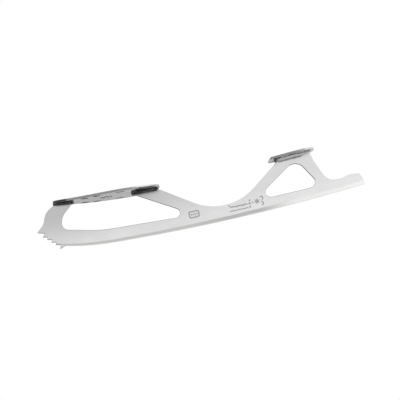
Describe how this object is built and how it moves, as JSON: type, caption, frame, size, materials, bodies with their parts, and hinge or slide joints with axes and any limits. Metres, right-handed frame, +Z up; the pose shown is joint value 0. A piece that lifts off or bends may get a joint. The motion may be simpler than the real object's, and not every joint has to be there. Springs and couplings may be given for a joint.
{
  "type": "figure skate blade",
  "caption": "Steel figure skate blade: a runner with toe picks brazed through cups to a sole plate and a heel plate for screwing to a boot.",
  "frame": {"origin": "under the middle of the blade's length, at the lowest point of the skating edge", "axes": "+X from toe to heel, +Y across the blade, +Z up from the ice to the boot"},
  "size_m": [0.3448, 0.072, 0.0568],
  "materials": {
    "runner_steel": "satin chrome plate on carbon steel, bright and bare along the ground edge",
    "plate_chrome": "polished chrome plate on pressed steel",
    "dark_cup": "dark polished plating on steel",
    "braze": "silver braze, smoothed and plated"
  },
  "bodies": {
    "root": {"runner": "runner_steel", "sole_plate": "plate_chrome", "heel_plate": "plate_chrome", "toe_cup": "dark_cup", "ball_cup": "dark_cup", "heel_cup": "dark_cup", "toe_braze_left": "braze", "toe_braze_right": "braze", "ball_braze_left": "braze", "ball_braze_right": "braze", "heel_braze_left": "braze", "heel_braze_right": "braze"}
  },
  "joints": []
}
